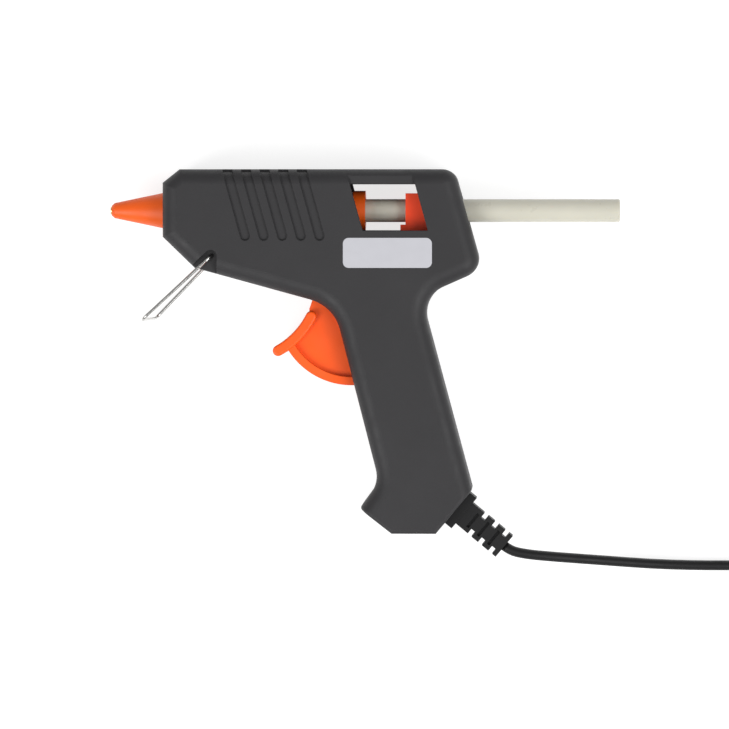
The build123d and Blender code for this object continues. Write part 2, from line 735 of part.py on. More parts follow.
def pawl_pivot():
    """Where the pawl turns, low in the carriage."""
    return Vector(CARRIAGE_X + PAWL_PIN_SETBACK, CARRIAGE_FLOOR_Y + PAWL_HUB_D / 2 + SLIDE_CLEARANCE)


def grip_pawl():
    """The toothed pawl that bites the stick from below."""
    spot = pawl_pivot()
    top = AXIS_Y - STICK_D / 2 - PAWL_GAP
    nose = spot.X - PAWL_REACH
    teeth = []
    for i in range(2):
        teeth.append((nose + i * TOOTH_PITCH, top))
        teeth.append((nose + (i + 0.5) * TOOTH_PITCH, top - TOOTH_DEPTH))
    hub = PAWL_HUB_D / 3
    corners = teeth + [(spot.X + hub, spot.Y + hub), (spot.X, spot.Y - hub), (nose, spot.Y + hub / 2)]
    pawl = slab(make_face(Polyline(*corners, close=True)), -PAWL_THICK / 2, PAWL_THICK / 2)
    pawl += post(spot.X, spot.Y, PAWL_HUB_D, -PAWL_THICK / 2, PAWL_THICK / 2)
    return pawl - post(spot.X, spot.Y, PAWL_PIN_D + 2 * RUN_CLEARANCE, -PAWL_THICK, PAWL_THICK)


def grip_pin():
    """The pawl's pin, pressed across the carriage."""
    spot = pawl_pivot()
    return post(spot.X, spot.Y, PAWL_PIN_D, -PAWL_PIN_LENGTH / 2, PAWL_PIN_LENGTH / 2)


def trigger():
    """The trigger: finger pad, thin web, rim, hub, drive arm with its cross pin, and spring peg."""
    finger = Vector(FINGER_X, FINGER_Y)
    hollow = disc(finger, FINGER_R + PAD_BITE)
    web = (disc(PIVOT, TRIGGER_R) & wedge(TRIGGER_R, *WEB_ANGLES)) - hollow
    web += (disc(PIVOT, SHIELD_R) & wedge(SHIELD_R, *SHIELD_ANGLES)) - hollow
    solid = slab(web, -WEB_THICK / 2, WEB_THICK / 2)
    rim = (disc(PIVOT, TRIGGER_R) - disc(PIVOT, TRIGGER_R - RIM_THICK)) & wedge(TRIGGER_R, *RIM_ANGLES)
    solid += slab(rim - hollow, -RIM_WIDTH / 2, RIM_WIDTH / 2)
    ends = []
    for angle in (PAD_TOP_ANGLE, PAD_LIP_ANGLE):
        turn = math.radians(angle)
        ends.append(finger + Vector(math.cos(turn), math.sin(turn)) * (FINGER_R + PAD_THICK / 2))
    turn = math.radians((PAD_TOP_ANGLE + PAD_LIP_ANGLE) / 2)
    middle = finger + Vector(math.cos(turn), math.sin(turn)) * (FINGER_R + PAD_THICK / 2)
    pad = SlotArc(ThreePointArc(ends[0], middle, ends[1]), PAD_THICK)
    pad = slab(pad, -PAD_WIDTH / 2, PAD_WIDTH / 2)
    flats = pad.faces().sort_by(Axis.Z)
    solid += fillet(flats[-1].edges() + flats[0].edges(), PAD_SOFTEN)
    solid += post(PIVOT_X, PIVOT_Y, HUB_D, -HUB_WIDTH / 2, HUB_WIDTH / 2)
    arm = Pos(ARM_REACH / 2, 0) * Rectangle(ARM_REACH, ARM_BREADTH)
    arm += Pos(ARM_REACH, 0) * Circle(ARM_BREADTH / 2)
    arm = Pos(PIVOT_X, PIVOT_Y) * Rot(0, 0, 90 - ARM_LEAN) * arm
    solid += slab(arm, -ARM_THICK / 2, ARM_THICK / 2)
    solid += post(DRIVE_X, DRIVE_Y, DRIVE_PIN_D, -DRIVE_PIN_LENGTH / 2, DRIVE_PIN_LENGTH / 2)
    peg = spring_leg_end(-1) - spring_side() * (SPRING_WIRE_D / 2 + SEAT_CLEARANCE + PEG_D / 2)
    solid += post(peg.X, peg.Y, PEG_D, -(DEPTH - 1), 0)
    hole = TRIGGER_PIN_D + 2 * RUN_CLEARANCE
    return solid - post(PIVOT_X, PIVOT_Y, hole, -HUB_WIDTH, HUB_WIDTH)


def trigger_pin():
    """The trigger's pin, pressed into both halves."""
    return post(PIVOT_X, PIVOT_Y, TRIGGER_PIN_D, -TRIGGER_PIN_LENGTH / 2, TRIGGER_PIN_LENGTH / 2)


def spring_side():
    """The direction across the spring, towards its fixed leg."""
    turn = math.radians(SPRING_LEAN)
    return Vector(math.cos(turn), math.sin(turn))


def spring_leg_end(side):
    """The place near the end of a spring leg where it bears: 1 is fixed, -1 moves."""
    down = Vector(spring_side().Y, -spring_side().X)
    return PIVOT + spring_side() * side * SPRING_R + down * (SPRING_LEG - 1)


def trigger_spring():
    """A torsion spring wound in half turns round the right half's pin boss."""
    side = spring_side()
    down = Vector(side.Y, -side.X)
    low = -(HUB_WIDTH / 2 + 2 * SLIDE_CLEARANCE + SPRING_WIRE_D / 2)
    start = PIVOT + side * SPRING_R + Vector(0, 0, low)
    path = [Line(start + down * SPRING_LEG, start)]
    spots = [start]
    for i in range(SPRING_HALF_TURNS):
        way = -1 if i % 2 == 0 else 1
        drop = Vector(0, 0, low - (i + 1) * SPRING_PITCH / 2)
        rise = Vector(0, 0, low - (i + 0.5) * SPRING_PITCH / 2)
        end = PIVOT + side * way * SPRING_R + drop
        middle = PIVOT + down * way * SPRING_R + rise
        path.append(ThreePointArc(spots[-1], middle, end))
        spots.append(end)
    path.append(Line(spots[-1], spots[-1] + down * SPRING_LEG))
    print("spring gap between turns", round(SPRING_PITCH - SPRING_WIRE_D, 2))
    plane = Plane(origin=start + down * SPRING_LEG, z_dir=down)
    return sweep(plane * Circle(SPRING_WIRE_D / 2), Wire([edge for piece in path for edge in piece.edges()]))


def glue_stick():
    """The glue stick, its rear edge softened."""
    stick = rod(STICK_D, STICK_FRONT_X, STICK_REAR_X)
    return chamfer(stick.faces().sort_by(Axis.X)[-1].edges(), STICK_SOFTEN)


def wire_stand():
    """One bent wire: two pins in the sides, two legs and the cross bar."""
    turn = math.radians(STAND_ANGLE)
    along = Vector(math.cos(turn), math.sin(turn))
    across = Vector(-along.Y, along.X)
    root = Vector(STAND_X, STAND_Y)
    near = root + along * STAND_LEG
    far = root + along * (STAND_LEG - STAND_SKEW) + across * STAND_SKEW
    z = Vector(0, 0, STAND_LEG_Z)
    pin = Vector(0, 0, STAND_LEG_Z - STAND_PIN_LENGTH)
    path = FilletPolyline(root + pin, root + z, near + z, far - z, root - z, root - pin, radius=STAND_BEND)
    plane = Plane(origin=root + pin, z_dir=(0, 0, 1))
    return sweep(plane * Circle(STAND_WIRE_D / 2), path)


def strain_relief():
    """The rubber relief: flange, block, slotted rings on a core, and the neck held by both halves."""
    seat = -WALL - SEAT_CLEARANCE
    gap = 2 * SEAT_CLEARANCE
    relief = cord_bar(RELIEF_NECK[0] - gap, RELIEF_NECK[1] - gap, seat, SEAT_CLEARANCE)
    relief += cord_bar(INNER_FLANGE[0], INNER_FLANGE[1], seat - INNER_FLANGE[2], seat)
    relief += cord_bar(RELIEF_FLANGE[0], RELIEF_FLANGE[1], SEAT_CLEARANCE, RELIEF_FLANGE[2])
    reach = RELIEF_FLANGE[2]
    relief += cord_bar(RELIEF_BLOCK[0], RELIEF_BLOCK[1], reach, reach + RELIEF_BLOCK[2])
    relief += cord_bar(RELIEF_CORE, RELIEF_RING[1], reach, RELIEF_LENGTH)
    reach += RELIEF_BLOCK[2]
    slits = [reach - 2 * RELIEF_SLIT]
    for _ in range(RELIEF_RINGS):
        reach += RELIEF_GAP
        relief += cord_bar(RELIEF_RING[0], RELIEF_RING[1], reach, reach + RELIEF_RING[2])
        slits.append(reach + (RELIEF_RING[2] - RELIEF_SLIT) / 2)
        reach += RELIEF_RING[2]
    relief += cord_bar(RELIEF_RING[0], RELIEF_RING[1], RELIEF_LENGTH - RELIEF_END, RELIEF_LENGTH)
    depth = 2 * RELIEF_SLIT_DEPTH
    for reach in slits:
        for side in (-1, 1):
            slit = Pos(0, side * RELIEF_RING[1] / 2) * Rectangle(RELIEF_SLIT_LENGTH, depth)
            relief -= extrude(cord_plane(reach) * slit, RELIEF_SLIT)
    start = -CORD_INSIDE
    hole = cord_plane(start) * SlotOverall(CORD_WIDTH + gap, CORD_THICK + gap, rotation=90)
    return relief - extrude(hole, RELIEF_LENGTH + 1 - start)


def cord_inside():
    """The cord from the relief's end in to the clamp."""
    return extrude(cord_plane(-CORD_INSIDE) * cord_section(), CORD_INSIDE + RELIEF_LENGTH)


def clamp_frame():
    """The clamp's plane: across the cord, square to the mid-plane."""
    return Plane(origin=cord_plane(-CLAMP_AT).origin, x_dir=CORD_ACROSS, z_dir=(0, 0, 1))


def cord_clamp():
    """The bar that two screws press on the cord."""
    bar = Rectangle(CLAMP_LENGTH, CLAMP_BREADTH)
    for side in (-1, 1):
        bar -= Pos(side * CLAMP_SCREW_SPACING / 2, 0) * Circle(CLAMP_SCREW_D / 2 + SEAT_CLEARANCE)
    return Pos(0, 0, CORD_WIDTH / 2) * extrude(clamp_frame() * bar, CLAMP_THICK)


def clamp_screws():
    """Two screws through the clamp into the right half's bosses."""
    top = CORD_WIDTH / 2 + CLAMP_THICK
    screws = []
    for side in (-1, 1):
        spot = clamp_frame().origin + CORD_ACROSS * side * CLAMP_SCREW_SPACING / 2
        screw = post(spot.X, spot.Y, CLAMP_HEAD_D, top, top + CLAMP_HEAD_H)
        screw += post(spot.X, spot.Y, CLAMP_SCREW_D, top - CLAMP_SCREW_LENGTH, top)
        screws.append(screw - Pos(spot.X, spot.Y, top + CLAMP_HEAD_H) * Box(*CLAMP_SLOT))
    return Compound(screws)


def lead_route(side, tab_y):
    """Points of one lead from the cord's end to its heater tab, on one side of the mid-plane."""
    start = cord_plane(-CORD_INSIDE).origin
    wide = side * LEAD_SPREAD
    near = side * TAB_OFFSET
    core = Vector(start.X, start.Y, side * CORD_WIDTH / 4)
    climb = [Vector(x, y, wide) for x, y in LEAD_CLIMB]
    return [
        core,
        core - CORD_OUT * LEAD_START,
        Vector(*LEAD_BEND, side * LEAD_BEND_Z),
        *climb,
        Vector(LEAD_DIP_X, tab_y - LEAD_DIP, side * LEAD_DIP_Z),
        Vector(TAB_END_X + LEAD_REACH, tab_y, near),
        Vector(TAB_END_X + LEAD_GAP, tab_y, near),
    ]


def tangent_radii(points):
    """For each corner the arc that uses nearly half of its shorter run."""
    radii = []
    for before, here, after in zip(points, points[1:], points[2:]):
        one = here - before
        two = after - here
        half = math.radians(one.get_angle(two)) / 2
        radii.append(ARC_SHARE * min(one.length, two.length) / math.tan(half))
    return radii


def lead(side, tab_y):
    """One insulated lead."""
    points = lead_route(side, tab_y)
    path = FilletPolyline(*points, radius=tangent_radii(points))
    plane = Plane(origin=points[0], z_dir=points[1] - points[0])
    return sweep(plane * Circle(LEAD_D / 2), path)


def tab_heights():
    """Middle heights of the lower and upper tabs."""
    _, first, second, third, top = heater_levels()
    return (first + second) / 2, (third + top) / 2


def crimp_terminals():
    """A crimp on each heater tab."""
    crimps = []
    for side, tab_y in zip((-1, 1), tab_heights()):
        start = (TAB_END_X - CRIMP_LENGTH / 2, tab_y, side * TAB_OFFSET)
        ring = Circle(CRIMP_D / 2) - Circle(LEAD_D / 2 + SEAT_CLEARANCE)
        crimps.append(extrude(Plane(origin=start, z_dir=(1, 0, 0)) * ring, CRIMP_LENGTH))
    return Compound(crimps)


def heat_sleeves():
    """A glass fibre sleeve on each lead's run past the trigger."""
    sleeves = []
    for side, tab_y in zip((-1, 1), tab_heights()):
        points = lead_route(side, tab_y)
        along = (points[8] - points[7]).normalized()
        start = (points[7] + points[8]) * 0.5 - along * HEAT_SLEEVE_LENGTH / 2
        ring = Circle(HEAT_SLEEVE_D / 2) - Circle(LEAD_D / 2 + SEAT_CLEARANCE)
        sleeves.append(extrude(Plane(origin=start, z_dir=along) * ring, HEAT_SLEEVE_LENGTH))
    return Compound(sleeves)


def lowered(x, y, z):
    """A point on the table's heights, taken to the mid-plane's heights."""
    return Vector(x, y, z - MID)


def cord_points():
    """The free cord's points, from the relief's end to the coil."""
    end = cord_plane(RELIEF_LENGTH + JOIN_GAP).origin
    turn = cord_plane(RELIEF_LENGTH + EXIT_RUN).origin
    return [end, turn] + [lowered(*spot) for spot in CORD_ROUTE]


def power_cord():
    """The free cord from the relief to the coil."""
    points = cord_points()
    radii = tangent_radii(points)
    path = FilletPolyline(*points, radius=radii)
    print("cord radii", [round(radius, 1) for radius in radii], "length", round(path.length, 1))
    tube = sweep(cord_plane(RELIEF_LENGTH + JOIN_GAP) * cord_section(), path)
    area = cord_section().area
    print("cord volume over section times length", round(tube.volume / (area * path.length), 4))
    return tube


def coil_radii():
    """Radius of each half turn: inwards, the climb, outwards, and the last quarter turn."""
    step = COIL_PITCH / 2
    inward = [COIL_TURN_R - step * (i + 1) for i in range(COIL_HALF_TURNS_IN + 1)]
    outward = [inward[-1] + step * (i + 1) for i in range(COIL_HALF_TURNS_OUT + 1)]
    return inward + outward


def coil_arcs():
    """The coil's half turns: spiral in, climb a layer where it turns, spiral out, and leave upwards."""
    start = cord_points()[-1] + Vector(JOIN_GAP, 0, 0)
    arcs = [Line(start, lowered(COIL_X, CORD_ROUTE[-1][1], COIL_Z))]
    radii = coil_radii()
    spot = -COIL_TURN_R
    height = COIL_Z
    for i, radius in enumerate(radii[:-1]):
        side = 1 if i % 2 == 0 else -1
        climb = COIL_LAYER_STEP if i == COIL_HALF_TURNS_IN else 0
        end = spot + side * 2 * radius
        first = lowered(COIL_X, COIL_Y + spot, height)
        middle = lowered(COIL_X + side * radius, COIL_Y + (spot + end) / 2, height + climb / 2)
        spot = end
        height += climb
        arcs.append(ThreePointArc(first, middle, lowered(COIL_X, COIL_Y + spot, height)))
    radius = radii[-1]
    turn = math.radians(45)
    centre = COIL_Y + spot + radius
    quarter = lowered(COIL_X + radius * math.sin(turn), centre - radius * math.cos(turn), height)
    last = lowered(COIL_X + radius, centre, height)
    arcs.append(ThreePointArc(lowered(COIL_X, COIL_Y + spot, height), quarter, last))
    return arcs, last


def cord_coil():
    """The put-away length as one tied coil."""
    arcs, last = coil_arcs()
    arcs.append(Line(last, last + Vector(0, CORD_WIDTH, 0)))
    path = Wire([edge for arc in arcs for edge in arc.edges()])
    print("coil length", round(path.length, 1), "least gap", round(least_gap(path), 2))
    plane = Plane(origin=path @ 0, x_dir=(0, 1, 0), z_dir=(1, 0, 0))
    coil = sweep(plane * cord_section(), path)
    area = cord_section().area
    print("coil volume over section times length", round(coil.volume / (area * path.length), 4))
    return coil


def least_gap(path):
    """The least gap between the coil's turns, measured on points along its path."""
    count = int(path.length)
    spots = [path @ (i / count) for i in range(count + 1)]
    least = path.length
    for i, one in enumerate(spots):
        for other in spots[i + int(COIL_TURN_R):]:
            apart = one - other
            flat = math.hypot(apart.X, apart.Y) - CORD_THICK
            tall = abs(apart.Z) - CORD_WIDTH
            least = min(least, max(flat, tall))
    return least


def tail_start():
    """Where the tail begins, just past the coil's straight end."""
    return coil_arcs()[1] + Vector(0, CORD_WIDTH + JOIN_GAP, 0)


def cord_tail():
    """The short straight end that runs into the plug's boot."""
    plane = Plane(origin=tail_start(), x_dir=(1, 0, 0), z_dir=(0, 1, 0))
    return extrude(plane * cord_section(), TAIL_LENGTH)


def cord_tie():
    """A flat band round all the coil's turns, on the side away from the plug."""
    radii = coil_radii()[1::2]
    outer = COIL_X - max(radii) - CORD_THICK / 2 - TIE_SIDE_GAP
    inner = COIL_X - min(radii) + CORD_THICK / 2 + TIE_SIDE_GAP
    middle = COIL_Y - COIL_PITCH / 2
    low = COIL_Z - CORD_WIDTH / 2 - TIE_GAP - MID
    high = COIL_Z + COIL_LAYER_STEP + CORD_WIDTH / 2 + TIE_GAP - MID
    half = TIE_BREADTH / 2
    t = TIE_THICK
    band = block(outer - t, inner + t, middle - half, middle + half, low - t, high + t)
    return band - block(outer, inner, middle - TIE_BREADTH, middle + TIE_BREADTH, low, high)


def plug_plane(reach):
    """A plane across the plug's line, a reach on from the boot's mouth."""
    origin = tail_start() + Vector(0, TAIL_LENGTH + reach, 0)
    return Plane(origin=origin, x_dir=(1, 0, 0), z_dir=(0, 1, 0))


def plug_body():
    """The moulded plug: ringed boot, shoulders and body."""
    height = 2 * PLUG_Z
    boot = extrude(plug_plane(0) * Circle(BOOT_D / 2), BOOT_LENGTH + 1)
    pitch = BOOT_LENGTH / (BOOT_RINGS + 1)
    for i in range(1, BOOT_RINGS + 1):
        ring = Circle(BOOT_D) - Circle(BOOT_D / 2 - BOOT_GROOVE_DEPTH)
        boot -= extrude(plug_plane(i * pitch - BOOT_GROOVE / 2) * ring, BOOT_GROOVE)
    small = plug_plane(BOOT_LENGTH) * RectangleRounded(*SHOULDER, PLUG_CORNER)
    large = plug_plane(BOOT_LENGTH + PLUG_LENGTH / 2) * RectangleRounded(PLUG_WIDTH, height, PLUG_CORNER)
    body = loft([small.face(), large.face()], ruled=True)
    body += extrude(large, PLUG_LENGTH / 2)
    return boot + body


def plug_blades():
    """Two flat blades leaning towards each other."""
    blades = []
    for side in (-1, 1):
        spot = Pos(side * BLADE_SPACING / 2, 0) * Rot(0, 0, side * BLADE_LEAN)
        face = plug_plane(BOOT_LENGTH + PLUG_LENGTH) * (spot * Rectangle(BLADE_THICK, BLADE_WIDTH))
        blades.append(extrude(face, BLADE_LENGTH))
    return Compound(blades)


low_tab, high_tab = tab_heights()
_, first_level, second_level, third_level, top_level = heater_levels()
print("drive", round(DRIVE_X, 3), round(DRIVE_Y, 3), "stroke", round(STROKE, 3))

save(left_shell(), "left_shell")
save(right_shell(), "right_shell")
save(shell_screws(), "shell_screws")
save(rating_plate(), "rating_plate")
save(nozzle(), "nozzle")
save(nozzle_sleeve(), "nozzle_sleeve")
save(melt_chamber(), "melt_chamber")
save(ptc_heater(), "ptc_heater")
save(electrode(first_level, second_level, -TAB_OFFSET), "lower_electrode")
save(electrode(third_level, top_level, TAB_OFFSET), "upper_electrode")
save(heater_film(), "heater_film")
save(inlet_sleeve(), "inlet_sleeve")
save(feed_carriage(), "feed_carriage")
save(grip_pawl(), "grip_pawl")
save(grip_pin(), "grip_pin")
save(trigger(), "trigger")
save(trigger_pin(), "trigger_pin")
save(trigger_spring(), "trigger_spring")
save(glue_stick(), "glue_stick")
save(wire_stand(), "wire_stand")
save(strain_relief(), "strain_relief")
save(cord_inside(), "cord_inside")
save(cord_clamp(), "cord_clamp")
save(clamp_screws(), "clamp_screws")
save(lead(-1, low_tab), "lead_neutral")
save(lead(1, high_tab), "lead_live")
save(crimp_terminals(), "crimp_terminals")
save(heat_sleeves(), "heat_sleeves")
save(power_cord(), "power_cord")
save(cord_coil(), "cord_coil")
save(cord_tail(), "cord_tail")
save(cord_tie(), "cord_tie")
save(plug_body(), "plug_body")
save(plug_blades(), "plug_blades")
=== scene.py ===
"""Looks of a mini hot melt glue gun that lies on its right side, seen from above."""
import math

import bmesh
import bpy
from mathutils import Matrix, Vector


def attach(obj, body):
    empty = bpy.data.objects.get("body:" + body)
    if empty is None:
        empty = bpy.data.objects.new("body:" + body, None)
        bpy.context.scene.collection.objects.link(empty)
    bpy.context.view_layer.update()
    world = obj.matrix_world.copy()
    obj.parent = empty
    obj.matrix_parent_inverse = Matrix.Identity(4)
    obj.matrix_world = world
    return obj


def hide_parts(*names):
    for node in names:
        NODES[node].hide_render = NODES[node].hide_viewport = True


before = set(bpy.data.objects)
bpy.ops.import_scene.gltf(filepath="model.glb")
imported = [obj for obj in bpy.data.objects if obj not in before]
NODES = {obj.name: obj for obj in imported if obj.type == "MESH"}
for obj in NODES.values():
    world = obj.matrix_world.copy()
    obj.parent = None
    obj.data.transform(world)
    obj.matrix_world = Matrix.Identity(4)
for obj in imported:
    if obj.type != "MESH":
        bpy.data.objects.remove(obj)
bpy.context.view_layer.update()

MM = 0.001

# Camera: the photograph's square frame at the gun's mid-plane
FRAME_WIDTH = 228.9 * MM
FRAME_CENTRE = Vector((-0.16, -4.4, 13.5)) * MM
CAMERA_DISTANCE = 1.5
CAMERA_LEAN_X = 2.1
CAMERA_LEAN_Y = 1.8
SENSOR = 36.0

# Light and floor
ROOM_LIGHT = 0.4
LIGHT_TARGET = (0.0, 0.0, 0.0)
SOFT_BOX_PLACE = (0.7, -0.25, 0.85)
SOFT_BOX_SIZE = (0.8, 0.6)
SOFT_BOX_POWER = 8.5
SIDE_FILL_PLACE = (-0.6, -0.4, 0.9)
SIDE_FILL_SIZE = (0.6, 0.6)
SIDE_FILL_POWER = 7.5
FLOOR_HALF = 3.0
FLOOR_GREY = 0.4
FLOOR_ROUGH = 0.9
FLOOR_GLOW = 0.75

# Cord: section, and the route after the strain relief
CORD_WIDTH = 5.2 * MM
CORD_THICK = 3.0 * MM
CORD_EXIT = (43.75, -61.27, 13.5)
CORD_ROUTE = [
    CORD_EXIT,
    (45.59, -62.8, 13.5),
    (50.4, -63.9, 13.3),
    (58.0, -64.7, 12.2),
    (72.0, -66.0, 8.0),
    (96.0, -68.0, 3.5),
    (122.0, -68.0, 3.5),
]
COIL_X = 156.0
COIL_TURN_R = 33.5
COIL_PITCH = 3.5
COIL_LAYER_STEP = 5.8
COIL_HALF_TURNS_IN = 6
COIL_HALF_TURNS_OUT = 5
COIL_POINTS = 12
TAIL_END_Y = -9.0

# How finely the cord is drawn: spline order, steps between points, points on each round side
SPLINE_ORDER = 3
SPLINE_STEPS = 4
SIDE_POINTS = 7

# Surfaces: noise scales per metre, and the part of the noise's range that is used
NOISE_LOW = 0.3
NOISE_HIGH = 0.7
PLASTIC_MOTTLE = 60.0
PLASTIC_GLOSS = 220.0
PLASTIC_GRAIN = 2600.0
PLASTIC_ROUGH_SPREAD = 0.06
METAL_MOTTLE = 150.0
METAL_GLOSS = 400.0
METAL_GRAIN = 1500.0
METAL_ROUGH_SPREAD = 0.05

# Glue stick: ivory, with light that goes a few millimetres into it
GLUE_COLOUR = (0.56, 0.545, 0.465)
GLUE_COLOUR_SPREAD = 0.03
GLUE_ROUGH = 0.3
GLUE_ROUGH_SPREAD = 0.04
GLUE_NOISE = 150.0
GLUE_BUMP_DEPTH = 0.02
GLUE_BUMP_STRENGTH = 0.5
GLUE_EDGE = 0.2
GLUE_INSIDE = 0.2
GLUE_REACH = (0.004, 0.0035, 0.0025)


def coil_points():
    """The coil's control points: spiral in, climb a layer, spiral out, and a last quarter turn."""
    step = COIL_PITCH / 2
    inward = [COIL_TURN_R - step * (i + 1) for i in range(COIL_HALF_TURNS_IN + 1)]
    outward = [inward[-1] + step * (i + 1) for i in range(COIL_HALF_TURNS_OUT + 1)]
    radii = inward + outward
    spot = CORD_ROUTE[-1][1]
    height = CORD_ROUTE[-1][2]
    points = []
    for i, radius in enumerate(radii):
        side = 1 if i % 2 == 0 else -1
        climb = COIL_LAYER_STEP if i == COIL_HALF_TURNS_IN else 0
        centre = spot + side * radius
        count = COIL_POINTS // 2 if i == len(radii) - 1 else COIL_POINTS
        for k in range(count):
            turn = math.pi * k / COIL_POINTS
            x = COIL_X + side * radius * math.sin(turn)
            y = centre - side * radius * math.cos(turn)
            points.append((x, y, height + climb * k / COIL_POINTS))
        spot += side * 2 * radius
        height += climb
    end_x = COIL_X + radii[-1]
    end_y = spot - radii[-1]
    points.append((end_x, end_y, height))
    points.append((end_x, TAIL_END_Y, height))
    return points


def spline_line(points):
    """Points read from one smooth NURBS spline."""
    curve = bpy.data.curves.new("route", "CURVE")
    curve.dimensions = "3D"
    curve.resolution_u = SPLINE_STEPS
    spline = curve.splines.new("NURBS")
    spline.points.add(len(points) - 1)
    for spot, place in zip(spline.points, points):
        spot.co = (*(Vector(place) * MM), 1.0)
    spline.order_u = SPLINE_ORDER
    spline.use_endpoint_u = True
    carrier = bpy.data.objects.new("route", curve)
    mesh = bpy.data.meshes.new_from_object(carrier)
    line = [vertex.co.copy() for vertex in mesh.vertices]
    bpy.data.objects.remove(carrier)
    bpy.data.curves.remove(curve)
    bpy.data.meshes.remove(mesh)
    return line


def new_piece(name, bm):
    """A smooth mesh object from a finished bmesh."""
    mesh = bpy.data.meshes.new(name)
    bmesh.ops.recalc_face_normals(bm, faces=bm.faces)
    bm.to_mesh(mesh)
    bm.free()
    for polygon in mesh.polygons:
        polygon.use_smooth = True
    piece = bpy.data.objects.new(name, mesh)
    bpy.context.scene.collection.objects.link(piece)
    return piece


def flat_profile(width, thick):
    """A stadium section: across the thin side, then up the wide side."""
    profile = []
    radius = thick / 2
    rise = (width - thick) / 2
    for half in (1, -1):
        for k in range(SIDE_POINTS):
            turn = math.pi * k / (SIDE_POINTS - 1)
            profile.append((half * radius * math.cos(turn), half * (rise + radius * math.sin(turn))))
    return profile


def tube(name, line, profile):
    """A closed tube along a line, its section kept upright."""
    bm = bmesh.new()
    rings = []
    for i, spot in enumerate(line):
        ahead = line[min(i + 1, len(line) - 1)] - line[max(i - 1, 0)]
        across = ahead.cross(Vector((0, 0, 1))).normalized()
        up = across.cross(ahead).normalized()
        rings.append([bm.verts.new(spot + across * x + up * y) for x, y in profile])
    for one, two in zip(rings, rings[1:]):
        for k in range(len(profile)):
            j = (k + 1) % len(profile)
            bm.faces.new((one[k], one[j], two[j], two[k]))
    bm.faces.new(rings[0])
    bm.faces.new(rings[-1])
    return new_piece(name, bm)


def add_camera():
    """A long lens above the gun, leaning a little towards the stick and the top."""
    lean = Vector((math.tan(math.radians(CAMERA_LEAN_X)), math.tan(math.radians(CAMERA_LEAN_Y)), 1.0))
    back = lean.normalized()
    right = Vector((0, 1, 0)).cross(back).normalized()
    up = back.cross(right)
    data = bpy.data.cameras.new("camera")
    data.sensor_width = SENSOR
    data.lens = SENSOR * CAMERA_DISTANCE / FRAME_WIDTH
    camera = bpy.data.objects.new("camera", data)
    rows = Matrix((right, up, back)).transposed().to_4x4()
    camera.matrix_world = Matrix.Translation(FRAME_CENTRE + back * CAMERA_DISTANCE) @ rows
    bpy.context.scene.collection.objects.link(camera)
    bpy.context.scene.camera = camera


def area_light(name, place, size, power):
    """A soft box that faces the gun."""
    data = bpy.data.lights.new(name, "AREA")
    data.shape = "RECTANGLE"
    data.size, data.size_y = size
    data.energy = power
    light = bpy.data.objects.new(name, data)
    light.location = place
    aim = Vector(LIGHT_TARGET) - Vector(place)
    light.rotation_euler = aim.to_track_quat("-Z", "Y").to_euler()
    bpy.context.scene.collection.objects.link(light)


def add_light():
    """A pale room with one large soft box beyond the stick and a weaker one beyond the nozzle."""
    scene = bpy.context.scene
    world = bpy.data.worlds.new("studio")
    world.use_nodes = True
    background = world.node_tree.nodes["Background"]
    background.inputs["Color"].default_value = (1.0, 1.0, 1.0, 1.0)
    background.inputs["Strength"].default_value = ROOM_LIGHT
    scene.world = world
    scene.view_settings.view_transform = "Standard"
    area_light("soft_box", SOFT_BOX_PLACE, SOFT_BOX_SIZE, SOFT_BOX_POWER)
    area_light("side_fill", SIDE_FILL_PLACE, SIDE_FILL_SIZE, SIDE_FILL_POWER)


def new_material(name):
    """A node material and its shader."""
    material = bpy.data.materials.new(name)
    material.use_nodes = True
    return material, material.node_tree.nodes["Principled BSDF"]


def add_node(material, kind, **values):
    """A node with its input values set."""
    node = material.node_tree.nodes.new(kind)
    for name, value in values.items():
        node.inputs[name.replace("_", " ")].default_value = value
    return node


def wire_up(material, source, target):
    """Join two sockets."""
    material.node_tree.links.new(source, target)


def add_floor():
    """A plain white floor that glows a little, so that shadows on it stay faint."""
    bm = bmesh.new()
    corners = [
        (-FLOOR_HALF, -FLOOR_HALF, 0),
        (FLOOR_HALF, -FLOOR_HALF, 0),
        (FLOOR_HALF, FLOOR_HALF, 0),
        (-FLOOR_HALF, FLOOR_HALF, 0),
    ]
    bm.faces.new([bm.verts.new(corner) for corner in corners])
    floor = new_piece("floor", bm)
    material, shader = new_material("floor_white")
    shader.inputs["Base Color"].default_value = (FLOOR_GREY, FLOOR_GREY, FLOOR_GREY, 1.0)
    shader.inputs["Roughness"].default_value = FLOOR_ROUGH
    shader.inputs["Emission Color"].default_value = (1.0, 1.0, 1.0, 1.0)
    shader.inputs["Emission Strength"].default_value = FLOOR_GLOW
    floor.data.materials.append(material)


def object_noise(material, **values):
    """Noise that sticks to the piece."""
    place = add_node(material, "ShaderNodeTexCoord")
    noise = add_node(material, "ShaderNodeTexNoise", **values)
    wire_up(material, place.outputs["Object"], noise.inputs["Vector"])
    return noise.outputs["Fac"]


def mottled(material, shader, colour, spread, scale):
    """A base colour that varies softly over the surface."""
    noise = object_noise(material, Scale=scale, Detail=4.0)
    ramp = add_node(material, "ShaderNodeValToRGB")
    low, high = ramp.color_ramp.elements
    low.position = NOISE_LOW
    low.color = (*(part * (1 - spread) for part in colour), 1.0)
    high.position = NOISE_HIGH
    high.color = (*(min(part * (1 + spread), 1.0) for part in colour), 1.0)
    wire_up(material, noise, ramp.inputs["Fac"])
    wire_up(material, ramp.outputs["Color"], shader.inputs["Base Color"])


